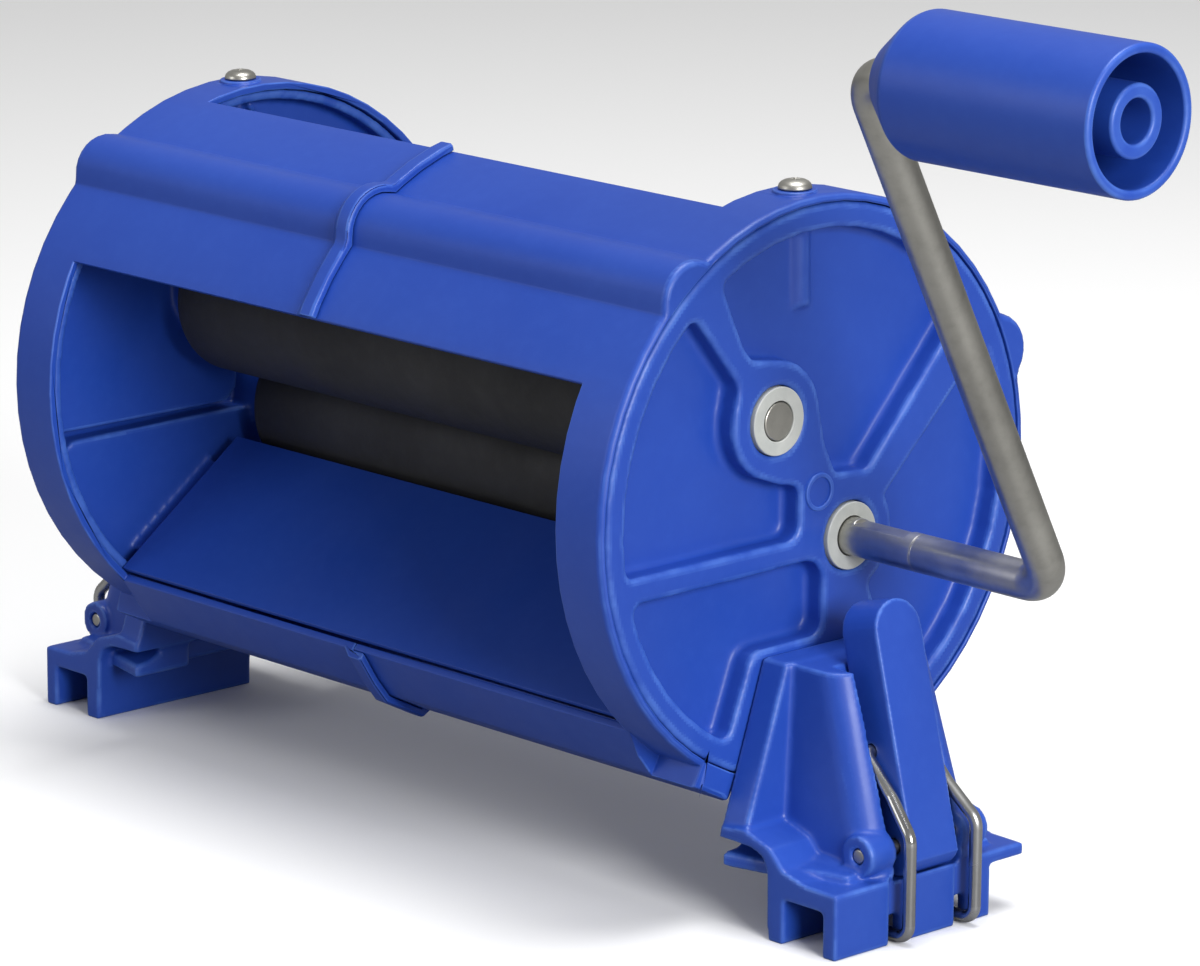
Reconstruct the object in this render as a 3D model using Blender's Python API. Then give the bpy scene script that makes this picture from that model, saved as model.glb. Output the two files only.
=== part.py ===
"""Clamp-on roller wringer: a drum-shaped casing with two rubber rollers, a hand crank and two rim clamps.

Metres, +Z up. The rollers run along X with the crank at +X. Washing is fed in at -Y and leaves
upwards at +Y. The shapes are drawn in the drum's frame, whose origin is the middle of the drum's axis,
and the empty "wringer" moves them so that the part stands on Z = 0 with its box centred on X = Y = 0.
"""
import math

import bmesh
import bpy
from mathutils import Vector

# ---------------------------------------------------------------- driving dimensions
GAP = 0.0003                    # between pieces that touch
RUNNING_GAP = 0.0003            # round a shaft or a pin

DRUM_LENGTH = 0.282
DRUM_RADIUS = 0.0925
DRUM_WALL = 0.0025
END_RING = 0.0195               # length of the closed ring at each end
FEED_TOP_ANGLE = 152.3          # front feed opening, in degrees from +Y towards +Z
FEED_LIP_ANGLE = 227.5
EXIT_BACK_ANGLE = 40.0          # exit opening over the rollers
EXIT_FRONT_ANGLE = 105.0
RIDGE_ANGLES = (128.8, 21.5)    # half-round ridges along the casing
RIDGE_RADIUS = 0.0123
RIDGE_HEIGHT = 0.0061           # above the drum
RAIL_ANGLE = 243.2              # flat rail under the front lip
RAIL_HALF_WIDTH = 0.0085
RAIL_HEIGHT = 0.0062
SOCKET_RAISE = 0.0028           # left sleeve's flared end at the middle seam
SOCKET_LENGTH = 0.0055
SOCKET_RAMP = 0.004
SOCKET_EDGE = 0.0005            # end of the socket, past the middle of the drum
RIM_ROUND = 0.0022

CAP_WALL = 0.003                # faces, floors and walls of the end cap's shell
CAP_WALL_SIDE = 0.0025
POCKET_DEPTH = 0.008
CAP_DEPTH = 0.018
CAP_SKIRT = 0.0032
POCKET_RIM = DRUM_RADIUS - 0.0105    # radius of the pockets' outer walls
HOLLOW_RIM = DRUM_RADIUS - 0.0095    # and of the hollows behind the ribs
BOSS_RADIUS = 0.0185
HUB_RADIUS = 0.0155             # round each bush, on the inside
SCREW_PILLAR = 0.006
MARK_RADIUS = 0.0060            # round gate mark in the middle
MARK_WIDTH = 0.0012
MARK_DEPTH = 0.0008

IDLER_AXIS = (-0.0184, 0.0250)  # (y, z)
DRIVE_AXIS = (0.0142, -0.0162)
SHAFT_RADIUS = 0.006
BUSH_RADIUS = 0.0107
BUSH_FLANGE_RADIUS = 0.0145
BUSH_FLANGE = 0.003
BUSH_PROUD = 0.0006
ROLLER_RADIUS = 0.026
ROLLER_ROUND = 0.005
ROLLER_END_CLEARANCE = 0.0015   # between a roller core and the bush flange
CORE_RADIUS = 0.017
CORE_PROUD = 0.002              # core length past the rubber at each end

CRANK_ARM = 0.1859
CRANK_ANGLE = 117.6             # of the arm as drawn, in degrees from +Y towards +Z
CRANK_REACH = 0.0845            # arm plane, outboard of the end cap
CRANK_BEND = 0.011
CRANK_SOCKET = 0.038            # rod inside the roller core
CRANK_FLAT = 0.0012             # depth of the milled flat by the bush
CRANK_FLAT_LENGTH = 0.022
CROSS_PIN_RADIUS = 0.002
CROSS_PIN_INSET = 0.016

GRIP_LENGTH = 0.0910
GRIP_RADIUS = 0.0215
GRIP_NECK_RADIUS = 0.0118
GRIP_CONE = 0.0135
GRIP_WALL = 0.0029
GRIP_RECESS = 0.056             # depth of the hollow end
GRIP_HUB_RADIUS = 0.0105
GRIP_HUB_INSET = 0.001
GRIP_RIB_INSET = 0.030
GRIP_LIP = 0.0025               # inner lip that the push nut holds
GRIP_RIB = 0.0022
TIP_RADIUS = 0.004
TIP_LENGTH = 0.0075
PUSH_NUT = 0.0014

TRAY_LIP_GAP = 0.005514369       # from the drum's outside to the tray's upper face at the front
TRAY_LIP_ANGLE = 225.9315566
TRAY_LIP = ((DRUM_RADIUS - TRAY_LIP_GAP) * math.cos(math.radians(TRAY_LIP_ANGLE)),
            (DRUM_RADIUS - TRAY_LIP_GAP) * math.sin(math.radians(TRAY_LIP_ANGLE)))
TRAY_BACK = (-0.0125, -0.0268)  # and at the back, just short of the drive roller
TRAY_THICKNESS = 0.0025
LEDGE_THICKNESS = 0.003
LEDGE_START = 0.008             # along the tray
LEDGE_END = 0.050

FOOT_DROP = 0.1295              # soles below the drum's axis
CLAMP_TOP = 0.0480              # tower top below the axis
PLATE_THICKNESS = 0.011
PLATE_TOP_HALF = 0.024
PLATE_FOOT_HALF = 0.042
PLATE_FOOT_DROP = 0.1017
TOWER_TOP_HALF = 0.0215
TOWER_FOOT_HALF = 0.0245
TOWER_TOP_REACH = 0.0308        # outer face of the tower, outboard of the cap
TOWER_ROUND = 0.0085
FLARES = ((0.0015, 0.0800, 0.0412), (0.0450, 0.1045, 0.0310))    # reach, top and half width, tower to shelf
SHELF_DROP = 0.1090
CLAMP_REACH = 0.0506            # outer face of the outer leg
INNER_LEG = (0.0217, 0.0284)
RIM_SLOT = 0.0164
RIM_SLOT_TOP = 0.1155
REAR_CUT_Y = 0.0263             # legs are shorter than the shelf at the back
REAR_CUT_DROP = 0.1130
CHANNEL_HALF = 0.0146
HOLLOW_HALF = 0.012

PIN_REACH = 0.0435              # lever pivot, outboard of the cap
PIN_DROP = 0.1015
PIN_RADIUS = 0.0023
PIN_HALF = 0.0252
BARREL_RADIUS = 0.0065
BARREL_HALF = 0.0258
LEVER_LEAN = 14.46
LEVER_LENGTH = 0.0746           # above the pin
LEVER_HALF = 0.0099
LEVER_FACE = 0.0078             # outer face to pin
LEVER_BACK = 0.0072
LEVER_FOOT = 0.0093
SCOOP_RADIUS = 0.0101

WIRE_RADIUS = 0.002
BAIL_PIVOT_U = 0.0296           # along the lever from its pin
BAIL_PIVOT_V = -0.0030
BAIL_ARM_Y = 0.01225
BAIL_LEG_Y = 0.0145
BAIL_LEG_REACH = 0.0550
HOOK_DROP = 0.1270
HOOK_REACH = 0.0420
GROOVE_WIDTH = 0.0075
GROOVE_DEPTH = 0.0022
NOTCH_WIDTH = 0.0054
NOTCH_TOP = 0.1210

CASING_SCREW_ANGLE = 91.5
CASING_SCREW_INSET = 0.010
CASING_SCREW_RADIUS = 0.002
CASING_SCREW_HEAD = 0.0053
CASING_SCREW_HEIGHT = 0.003
CASING_SCREW_LENGTH = 0.010
PAD_RADIUS = 0.007
PAD_HEIGHT = 0.0008
CLAMP_SCREW_Y = 0.019
CLAMP_SCREW_DROP = 0.066
CLAMP_SCREW_RADIUS = 0.002
CLAMP_SCREW_DEPTH = 0.008

HALF = DRUM_LENGTH / 2
CAP_RADIUS = DRUM_RADIUS - DRUM_WALL - GAP
RIDGE_CENTRE = DRUM_RADIUS + RIDGE_HEIGHT - RIDGE_RADIUS
PLATE_START = GAP               # the clamp plate stands on the cap's land
GRIP_AXIS = (DRIVE_AXIS[0] + CRANK_ARM * math.cos(math.radians(CRANK_ANGLE)),
             DRIVE_AXIS[1] + CRANK_ARM * math.sin(math.radians(CRANK_ANGLE)))
GRIP_START = CRANK_REACH + CRANK_BEND + 0.0020
GRIP_END = GRIP_START + GRIP_LENGTH

for old in list(bpy.data.objects):
    bpy.data.objects.remove(old, do_unlink=True)


# ---------------------------------------------------------------- materials
def make_material(name, colour, roughness, metallic=0.0):
    material = bpy.data.materials.new(name)
    material.use_nodes = True
    shader = material.node_tree.nodes["Principled BSDF"]
    shader.inputs["Base Color"].default_value = (*colour, 1.0)
    shader.inputs["Roughness"].default_value = roughness
    shader.inputs["Metallic"].default_value = metallic
    return material


BLUE_PLASTIC = make_material("blue_plastic", (0.030, 0.070, 0.420), 0.42)
PALE_NYLON = make_material("pale_nylon", (0.52, 0.53, 0.50), 0.45)
RUBBER = make_material("roller_rubber", (0.035, 0.036, 0.034), 0.75)
CORE_PLASTIC = make_material("core_plastic", (0.06, 0.06, 0.065), 0.5)
STEEL = make_material("zinc_steel", (0.42, 0.41, 0.38), 0.38, 1.0)
BRIGHT_STEEL = make_material("bright_steel", (0.60, 0.60, 0.60), 0.25, 1.0)


# ---------------------------------------------------------------- placing
def make_empty(name, place, parent=None):
    empty = bpy.data.objects.new(name, None)
    bpy.context.scene.collection.objects.link(empty)
    empty.parent = parent
    empty.location = Vector(place) - (PIVOTS[parent.name] if parent else Vector())
    PIVOTS[name] = Vector(place)
    return empty


PIVOTS = {}
BOX_LEFT = -(HALF + BAIL_LEG_REACH + WIRE_RADIUS)
BOX_RIGHT = HALF + GRIP_END
BOX_FRONT = -DRUM_RADIUS
BOX_BACK = DRUM_RADIUS + SOCKET_RAISE
WRINGER = make_empty("wringer", (0, 0, 0))
WRINGER.location = (-(BOX_LEFT + BOX_RIGHT) / 2, -(BOX_FRONT + BOX_BACK) / 2, FOOT_DROP)


def add_object(name, bm, material, parent=WRINGER, side=1):
    """Makes an object of a shape drawn for the right end; side -1 mirrors it to the left end."""
    if side < 0:
        bmesh.ops.scale(bm, vec=(-1, 1, 1), verts=bm.verts)
    bmesh.ops.remove_doubles(bm, verts=bm.verts, dist=1e-6)
    bmesh.ops.recalc_face_normals(bm, faces=bm.faces)
    bmesh.ops.translate(bm, vec=-PIVOTS[parent.name], verts=bm.verts)
    mesh = bpy.data.meshes.new(name)
    bm.to_mesh(mesh)
    bm.free()
    mesh.shade_smooth()
    mesh.set_sharp_from_angle(angle=math.radians(35))
    shape = bpy.data.objects.new(name, mesh)
    shape.parent = parent
    bpy.context.scene.collection.objects.link(shape)
    if material:
        mesh.materials.append(material)
    return shape


def combine(target, bm, operation="DIFFERENCE", side=1):
    """Cuts, or joins, a hidden helper shape from, or to, an object."""
    helper = add_object(f"{target.name}_helper", bm, None, WRINGER, side)
    helper.hide_render = True
    helper.display_type = "WIRE"
    modifier = target.modifiers.new(helper.name, "BOOLEAN")
    modifier.object = helper
    modifier.operation = operation
    modifier.solver = "EXACT"
    return helper


# ---------------------------------------------------------------- shapes
def polar(radius, degrees):
    return (radius * math.cos(math.radians(degrees)), radius * math.sin(math.radians(degrees)))


def skin(rings, closed=False):
    """Joins rings of points into a tube, capped at its ends or closed into a loop."""
    bm = bmesh.new()
    loops = [[bm.verts.new(point) for point in ring] for ring in rings]
    pairs = list(zip(loops, loops[1:])) + ([(loops[-1], loops[0])] if closed else [])
    for first, second in pairs:
        for i in range(len(first)):
            j = (i + 1) % len(first)
            bm.faces.new((first[i], first[j], second[j], second[i]))
    if not closed:
        bm.faces.new(loops[0])
        bm.faces.new(loops[-1])
    return bm


def prism(outline, low, high, axis):
    """Extrudes an outline along X (outline in y, z) or along Y (outline in x, z)."""
    place = {"X": lambda u, v, w: (w, u, v), "Y": lambda u, v, w: (u, w, v)}[axis]
    return skin([[place(u, v, end) for u, v in outline] for end in (low, high)])


def rod(start, end, radius, sides=16):
    """A cylinder between two points."""
    return sweep([Vector(start), Vector(end)], radius, sides)


def turned(profile, centre, sides=32, closed=False):
    """Turns a profile of (x, radius) round an axis along X through centre (y, z)."""
    rings = []
    for x, radius in profile:
        spokes = [polar(radius, 360 * k / sides) for k in range(sides)]
        rings.append([(x, centre[0] + y, centre[1] + z) for y, z in spokes])
    return skin(rings, closed)


def sweep(path, radius, sides):
    """A round wire of one radius along a path of points."""
    rings = []
    side_vector = None
    for i, point in enumerate(path):
        ahead = (path[min(i + 1, len(path) - 1)] - path[max(i - 1, 0)]).normalized()
        if side_vector is None:
            side_vector = ahead.orthogonal().normalized()
        side_vector = (side_vector - ahead * side_vector.dot(ahead)).normalized()
        other = ahead.cross(side_vector)
        rings.append([point + radius * (side_vector * math.cos(2 * math.pi * k / sides)
                                        + other * math.sin(2 * math.pi * k / sides))
                      for k in range(sides)])
    return skin(rings)


def rounded_path(corners, radii, steps):
    """Replaces the inner corners of a path by arcs."""
    path = [Vector(corners[0])]
    for i, radius in enumerate(radii, start=1):
        corner = Vector(corners[i])
        back = (Vector(corners[i - 1]) - corner).normalized()
        ahead = (Vector(corners[i + 1]) - corner).normalized()
        half_angle = back.angle(ahead) / 2
        middle = (back + ahead).normalized()
        centre = corner + middle * radius / math.sin(half_angle)
        start = corner + back * radius / math.tan(half_angle)
        end = corner + ahead * radius / math.tan(half_angle)
        spread = math.pi - 2 * half_angle
        for k in range(steps + 1):
            near = math.sin(spread * (steps - k) / steps) / math.sin(spread)
            far = math.sin(spread * k / steps) / math.sin(spread)
            path.append(centre + (start - centre) * near + (end - centre) * far)
    path.append(Vector(corners[-1]))
    return path


def cylinder_y(x, z, radius, low, high, sides=24):
    return rod((x, low, z), (x, high, z), radius, sides)


# ---------------------------------------------------------------- casing sleeves
def ridge_radius(degrees, offset):
    """Distance of the casing's surface from the axis; offset is its height over the drum radius."""
    radius = DRUM_RADIUS + offset
    for ridge in RIDGE_ANGLES:
        turn = math.radians(degrees - ridge)
        aside = RIDGE_CENTRE * math.sin(turn)
        arc = RIDGE_RADIUS + offset
        if abs(aside) < arc and math.cos(turn) > 0:
            radius = max(radius, RIDGE_CENTRE * math.cos(turn) + math.sqrt(arc ** 2 - aside ** 2))
    turn = math.radians(degrees - RAIL_ANGLE)
    face = (DRUM_RADIUS + RAIL_HEIGHT + offset) / math.cos(turn)
    if math.cos(turn) > 0 and abs(face * math.sin(turn)) <= RAIL_HALF_WIDTH + offset:
        radius = max(radius, face)
    return radius


RAIL_EDGE = math.degrees(math.atan(RAIL_HALF_WIDTH / (DRUM_RADIUS + RAIL_HEIGHT)))


def lip_radius(degrees, offset):
    """As ridge_radius, with the lip's slope from the feed opening down to the rail."""
    slope_end = RAIL_ANGLE - RAIL_EDGE
    if FEED_LIP_ANGLE - 2 < degrees < slope_end:
        share = max(0.0, (degrees - FEED_LIP_ANGLE) / (slope_end - FEED_LIP_ANGLE))
        return DRUM_RADIUS + offset + RAIL_HEIGHT * share
    return ridge_radius(degrees, offset)


def casing_angles():
    angles = {6.0 * k for k in range(60)}
    for ridge in RIDGE_ANGLES:
        span = {ridge + step for step in (-9.5, -8.3, -7.2, -6, -4.5, -3, -1.5, 0, 1.5, 3, 4.5, 6, 7.2, 8.3, 9.5)}
        angles = {a for a in angles if abs(a - ridge) > 10} | span
    for edge in (RAIL_ANGLE - RAIL_EDGE, RAIL_ANGLE + RAIL_EDGE):
        angles = {a for a in angles if abs(a - edge) > 1.5} | {edge - 0.4, edge + 0.4}
    return sorted(angles)


def casing_ring(x, offset, surface):
    if surface == "round":
        return [(x, *polar(DRUM_RADIUS + offset, a)) for a in casing_angles()]
    shape = lip_radius if surface == "lip" else ridge_radius
    return [(x, *polar(shape(a, offset), a)) for a in casing_angles()]


def sector(start, end, inner=DRUM_RADIUS - 0.0325, outer=DRUM_RADIUS + 0.0375):
    """Outline of a sector of a ring, in (y, z)."""
    steps = max(2, math.ceil((end - start) / 15))
    angles = [start + (end - start) * k / steps for k in range(steps + 1)]
    return [polar(outer, a) for a in angles] + [polar(inner, a) for a in reversed(angles)]


def add_sleeve(side):
    name = "casing_sleeve_right" if side > 0 else "casing_sleeve_left"
    ring_in = HALF - END_RING
    outside = [casing_ring(HALF, -RIM_ROUND * 0.7, "ridges"),
               casing_ring(HALF - RIM_ROUND * 0.3, -RIM_ROUND * 0.25, "ridges"),
               casing_ring(HALF - RIM_ROUND, 0, "ridges"),
               casing_ring(ring_in + 0.001, 0, "ridges"),
               casing_ring(ring_in, 0, "lip")]
    spigot_end = SOCKET_EDGE - SOCKET_LENGTH
    if side > 0:
        outside.append(casing_ring(spigot_end + GAP, 0, "lip"))
        inside = [casing_ring(spigot_end + GAP, -DRUM_WALL, "lip")]
    else:
        # drawn mirrored: the socket reaches past the middle of the drum
        outside += [casing_ring(-spigot_end + SOCKET_RAMP, 0, "lip"),
                    casing_ring(-spigot_end, SOCKET_RAISE, "lip"),
                    casing_ring(-SOCKET_EDGE + 0.0006, SOCKET_RAISE, "lip"),
                    casing_ring(-SOCKET_EDGE, SOCKET_RAISE - 0.0006, "lip")]
        inside = [casing_ring(-SOCKET_EDGE, GAP, "lip"),
                  casing_ring(-spigot_end, GAP, "lip"),
                  casing_ring(-spigot_end + 0.0002, -DRUM_WALL, "lip")]
    inside += [casing_ring(ring_in - 0.001, -DRUM_WALL, "lip"),
               casing_ring(ring_in + 0.002, -DRUM_WALL, "round"),
               casing_ring(HALF, -DRUM_WALL, "round")]
    sleeve = add_object(name, skin(outside + inside, closed=True), BLUE_PLASTIC, side=side)
    across = (-0.02, ring_in)
    combine(sleeve, prism(sector(FEED_TOP_ANGLE, FEED_LIP_ANGLE), *across, "X"), side=side)
    combine(sleeve, prism(sector(EXIT_BACK_ANGLE, EXIT_FRONT_ANGLE), *across, "X"), side=side)
    combine(sleeve, casing_screw_rod(DRUM_RADIUS - 0.0015, DRUM_RADIUS + PAD_HEIGHT, PAD_RADIUS, 28),
            "UNION", side)
    combine(sleeve, casing_screw_rod(DRUM_RADIUS - 0.0125, DRUM_RADIUS + 0.0075,
                                     CASING_SCREW_RADIUS + RUNNING_GAP, 16), side=side)


def casing_screw_rod(start, end, radius, sides):
    """A cylinder on the radial axis of the casing screw."""
    x = HALF - CASING_SCREW_INSET
    return rod((x, *polar(start, CASING_SCREW_ANGLE)), (x, *polar(end, CASING_SCREW_ANGLE)), radius, sides)


# ---------------------------------------------------------------- end caps
def bar(start, end, width):
    """Outline in (y, z) of a straight bar between two points."""
    along = Vector(end) - Vector(start)
    aside = along.orthogonal().normalized() * width / 2
    corners = (Vector(start) + aside, Vector(end) + aside, Vector(end) - aside, Vector(start) - aside)
    return [tuple(corner) for corner in corners]


def rounded_outline(corners):
    """An outline of (y, z) from corners of (y, z, radius); radius 0 keeps a corner as it is."""
    points = [Vector((y, z)) for y, z, radius in corners]
    outline = []
    for i, (y, z, radius) in enumerate(corners):
        before, corner, after = points[i - 1], points[i], points[(i + 1) % len(points)]
        if radius == 0:
            outline.append(corner)
            continue
        path = [(before + corner) / 2, corner, (corner + after) / 2]
        outline += [Vector(point[:2]) for point in rounded_path([p.to_3d() for p in path], (radius,), 4)[1:-1]]
    return outline


def grown(outline, distance):
    """The outline with each side moved outwards."""
    area = sum(p.x * q.y - q.x * p.y for p, q in zip(outline, outline[1:] + outline[:1]))
    distance = math.copysign(distance, area)
    result = []
    for i, point in enumerate(outline):
        first = (point - outline[i - 1]).normalized()
        second = (outline[(i + 1) % len(outline)] - point).normalized()
        aside = Vector((first.y + second.y, -first.x - second.x)).normalized()
        result.append(point + aside * distance / max(0.5, aside.dot(Vector((first.y, -first.x)))))
    return result


def rim_arc(start, end):
    """Corners along the pockets' outer wall; its two ends are rounded."""
    steps = max(2, math.ceil(abs(end - start) / 9))
    angles = [start + (end - start) * k / steps for k in range(steps + 1)]
    return [(*polar(POCKET_RIM, a), 0.003 if a in (start, end) else 0) for a in angles]


def boss_arc(centre, start, end):
    steps = max(2, math.ceil(abs(end - start) / 15))
    angles = [start + (end - start) * k / steps for k in range(steps + 1)]
    points = [Vector(centre) + Vector(polar(BOSS_RADIUS, a)) for a in angles]
    return [(point.x, point.y, 0) for point in points]


def pockets():
    """The four pockets in the cap's face; what stays between them is its rim, bosses and ribs."""
    top = rim_arc(38.0, 121.0) + [(-0.0330, 0.0500, 0.004), (-0.0290, 0.0452, 0.004)]
    top += boss_arc(IDLER_AXIS, 85, 8)
    top += [(0.0026, 0.0150, 0.004), (0.0076, 0.0046, 0.003), (0.0215, 0.0035, 0.004)]
    left = rim_arc(131.0, 190.0)
    left += [(-0.0082, -0.0140, 0.005), (-0.0080, 0.0030, 0.0040), (-0.0165, 0.0046, 0)]
    left += boss_arc(IDLER_AXIS, 258, 172) + [(-0.0345, 0.0380, 0.005)]
    low = rim_arc(196.0, 242.5)
    low += [(-0.0278, -0.0462, 0.006), (0.0026, -0.0458, 0.005), (0.0026, -0.0214, 0.007)]
    back = rim_arc(-62.5, 26.5) + boss_arc(DRIVE_AXIS, 34, -62) + [(0.0278, -0.0462, 0)]
    return [rounded_outline(corners) for corners in (top, left, low, back)]


def plate_outline():
    """The clamp plate's outline in (y, z)."""
    return [(-PLATE_TOP_HALF, -CLAMP_TOP), (PLATE_TOP_HALF, -CLAMP_TOP),
            (PLATE_FOOT_HALF, -PLATE_FOOT_DROP), (-PLATE_FOOT_HALF, -PLATE_FOOT_DROP)]


def tray_point(along, below=0.0):
    """A point in (y, z) on the tray's line, from its front edge, and below its upper face."""
    start = Vector(TRAY_LIP)
    line = (Vector(TRAY_BACK) - start).normalized()
    return tuple(start + line * along + Vector((line.y, -line.x)) * below)


def disc(centre, radius, low, high, sides=32):
    """A round block between two depths, measured out from the cap's face."""
    return turned([(HALF + low, radius), (HALF + high, radius)], centre, sides)


def add_end_cap(side):
    """A shell of one thickness: pockets from outside, hollows behind the ribs from inside."""
    name = "end_cap_right" if side > 0 else "end_cap_left"
    floor_in = -POCKET_DEPTH - CAP_WALL
    skirt_in = CAP_RADIUS - CAP_SKIRT
    profile = [(HALF, CAP_RADIUS - 0.0008), (HALF - 0.0008, CAP_RADIUS), (HALF - CAP_DEPTH, CAP_RADIUS),
               (HALF - CAP_DEPTH, skirt_in), (HALF + floor_in, skirt_in)]
    cap = add_object(name, turned(profile, (0, 0), 60), BLUE_PLASTIC, side=side)
    hollow = combine(cap, disc((0, 0), HOLLOW_RIM, floor_in - 0.001, -CAP_WALL, 48), side=side)
    solid_span = (HALF + floor_in - 0.002, HALF)
    for outline in pockets():
        combine(hollow, prism(grown(outline, CAP_WALL_SIDE), *solid_span, "X"), side=side)
        combine(cap, prism(outline, HALF - POCKET_DEPTH, HALF + 0.01, "X"), side=side)
    for y in (-CLAMP_SCREW_Y, CLAMP_SCREW_Y):
        combine(hollow, disc((y, -CLAMP_SCREW_DROP), SCREW_PILLAR, floor_in - 0.002, 0, 20), side=side)
    for centre in (IDLER_AXIS, DRIVE_AXIS):
        combine(hollow, disc(centre, HUB_RADIUS, floor_in - 0.002, 0), side=side)
        combine(cap, disc(centre, HUB_RADIUS, 0.001 - CAP_DEPTH, floor_in + 0.001), "UNION", side)
    combine(cap, casing_screw_rod(0.057, HOLLOW_RIM, 0.0045, 16), "UNION", side)
    ledge_top = TRAY_THICKNESS + GAP
    ledge = [tray_point(LEDGE_START, ledge_top), tray_point(LEDGE_END, ledge_top),
             tray_point(LEDGE_END, ledge_top + LEDGE_THICKNESS), tray_point(LEDGE_START, ledge_top + LEDGE_THICKNESS)]
    combine(cap, prism(ledge, HALF - CAP_DEPTH - 0.004, HALF + floor_in + CAP_WALL / 2, "X"), "UNION", side)
    for centre in (IDLER_AXIS, DRIVE_AXIS):
        combine(cap, disc(centre, BUSH_RADIUS + GAP, -0.05, 0.01, 28), side=side)
    combine(cap, casing_screw_rod(DRUM_RADIUS - 0.0145, DRUM_RADIUS + 0.0025,
                                  CASING_SCREW_RADIUS + RUNNING_GAP, 16), side=side)
    for y in (-CLAMP_SCREW_Y, CLAMP_SCREW_Y):
        combine(cap, disc((y, -CLAMP_SCREW_DROP), CLAMP_SCREW_RADIUS + RUNNING_GAP, -0.03, 0.01, 12), side=side)
    mark = [(HALF + 0.01, MARK_RADIUS), (HALF + 0.01, MARK_RADIUS - MARK_WIDTH),
            (HALF - MARK_DEPTH, MARK_RADIUS - MARK_WIDTH), (HALF - MARK_DEPTH, MARK_RADIUS)]
    combine(cap, turned(mark, (-0.0004, 0.0010), 28, closed=True), side=side)


def add_bush(name, centre, side):
    """A flanged bush: its collar is inside the drum, against the boss."""
    flange_out = HALF - CAP_DEPTH + 0.001 - GAP
    bore = SHAFT_RADIUS + RUNNING_GAP
    profile = [(HALF + BUSH_PROUD, bore), (HALF + BUSH_PROUD, BUSH_RADIUS), (flange_out, BUSH_RADIUS),
               (flange_out, BUSH_FLANGE_RADIUS), (flange_out - BUSH_FLANGE, BUSH_FLANGE_RADIUS),
               (flange_out - BUSH_FLANGE, bore)]
    add_object(name, turned(profile, centre, 24, closed=True), PALE_NYLON, side=side)


def add_casing_screw(side):
    name = "casing_screw_right" if side > 0 else "casing_screw_left"
    x = HALF - CASING_SCREW_INSET
    seat = DRUM_RADIUS + PAD_HEIGHT + GAP
    head = casing_screw_rod(seat, seat + CASING_SCREW_HEIGHT, CASING_SCREW_HEAD, 20)
    shape = add_object(name, head, STEEL, side=side)
    combine(shape, casing_screw_rod(seat - CASING_SCREW_LENGTH, seat + CASING_SCREW_HEIGHT / 2,
                                    CASING_SCREW_RADIUS, 12), "UNION", side)


# ---------------------------------------------------------------- rollers
CORE_END = HALF - CAP_DEPTH + 0.001 - GAP - BUSH_FLANGE - ROLLER_END_CLEARANCE
COVER_END = CORE_END - CORE_PROUD


def add_core(name, centre, parent):
    """A plastic roller core, bored for its shaft."""
    bore = SHAFT_RADIUS + GAP
    profile = [(-CORE_END, bore), (-CORE_END, CORE_RADIUS), (CORE_END, CORE_RADIUS), (CORE_END, bore)]
    return add_object(name, turned(profile, centre, 28, closed=True), CORE_PLASTIC, parent)


def add_cover(name, centre, parent):
    """A rubber sleeve with rounded ends, on a core."""
    bore = CORE_RADIUS + GAP
    outside = []
    for end in (-1, 1):
        arc = []
        for k in range(4):
            turn = math.radians(30 * k)
            arc.append((end * (COVER_END - ROLLER_ROUND + ROLLER_ROUND * math.cos(turn)),
                        ROLLER_RADIUS - ROLLER_ROUND + ROLLER_ROUND * math.sin(turn)))
        outside += arc if end < 0 else arc[::-1]
    profile = [(-COVER_END, bore)] + outside + [(COVER_END, bore)]
    add_object(name, turned(profile, centre, 40, closed=True), RUBBER, parent)


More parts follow.
